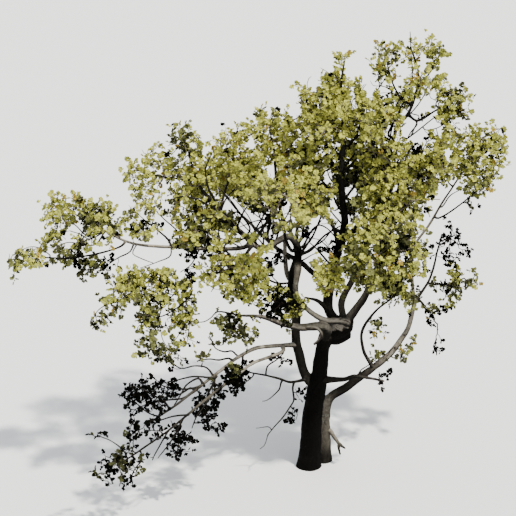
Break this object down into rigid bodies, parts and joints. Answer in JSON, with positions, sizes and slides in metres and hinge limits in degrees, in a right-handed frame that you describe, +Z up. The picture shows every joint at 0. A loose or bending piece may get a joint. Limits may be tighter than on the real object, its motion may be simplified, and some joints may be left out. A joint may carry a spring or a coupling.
{
  "type": "pagoda tree",
  "caption": "Whole pagoda tree with a leaning trunk, a second stem grown into it, long low boughs to one side and an open layered crown.",
  "frame": {"origin": "the middle of the trunk's flat cut, at ground level", "axes": "+Z up, +X to the tree's right as seen from its front, which faces -Y"},
  "size_m": [7.8918, 5.3418, 7.33],
  "materials": {
    "trunk_bark": "rough grey-brown bark with pale patches",
    "bough_bark": "grey-brown bark, smoother than the trunk's",
    "leaves": "matt yellow-green leaves"
  },
  "bodies": {
    "root": {"back_bough": "bough_bark", "back_leaves": "leaves", "back_left_bough": "bough_bark", "back_left_leaves": "leaves", "back_right_bough": "bough_bark", "back_right_leaves": "leaves", "centre_leader": "bough_bark", "centre_leaves": "leaves", "centre_left_leaves": "leaves", "centre_top_leaves": "leaves", "far_left_bough": "bough_bark", "far_left_leaves": "leaves", "front_bough": "bough_bark", "front_centre_leaves": "leaves", "front_leaves": "leaves", "front_left_bough": "bough_bark", "front_left_leaves": "leaves", "front_right_leaves": "leaves", "front_shoot": "bough_bark", "inner_left_leaves": "leaves", "inner_right_bough": "bough_bark", "inner_shoot": "bough_bark", "left_arc_leaves": "leaves", "left_arch": "bough_bark", "left_cluster_leaves": "leaves", "left_hanging_leaves": "leaves", "left_inner_leaves": "leaves", "left_mid_leaves": "leaves", "left_shelf_bough": "bough_bark", "left_shelf_leaves": "leaves", "left_spur": "bough_bark", "left_stem": "bough_bark", "left_under_leaves": "leaves", "low_end_leaves": "leaves", "low_hanging_leaves": "leaves", "low_left_bough": "bough_bark", "low_left_branch": "bough_bark", "low_left_leaves": "leaves", "low_under_leaves": "leaves", "mid_left_bough": "bough_bark", "right_bough": "bough_bark", "right_end_leaves": "leaves", "right_fork_bough": "bough_bark", "right_leader": "bough_bark", "right_leaves": "leaves", "right_low_leaves": "leaves", "right_stem": "bough_bark", "right_top_leaves": "leaves", "right_upper_bough": "bough_bark", "right_upper_leaves": "leaves", "small_left_bough": "bough_bark", "top_leaves": "leaves", "top_right_bough": "bough_bark", "top_right_leaves": "leaves", "trunk": "trunk_bark", "upper_back_leaves": "leaves", "upper_front_leaves": "leaves", "upper_left_leaves": "leaves", "upper_mid_leaves": "leaves", "upright_bough": "bough_bark"}
  },
  "joints": []
}
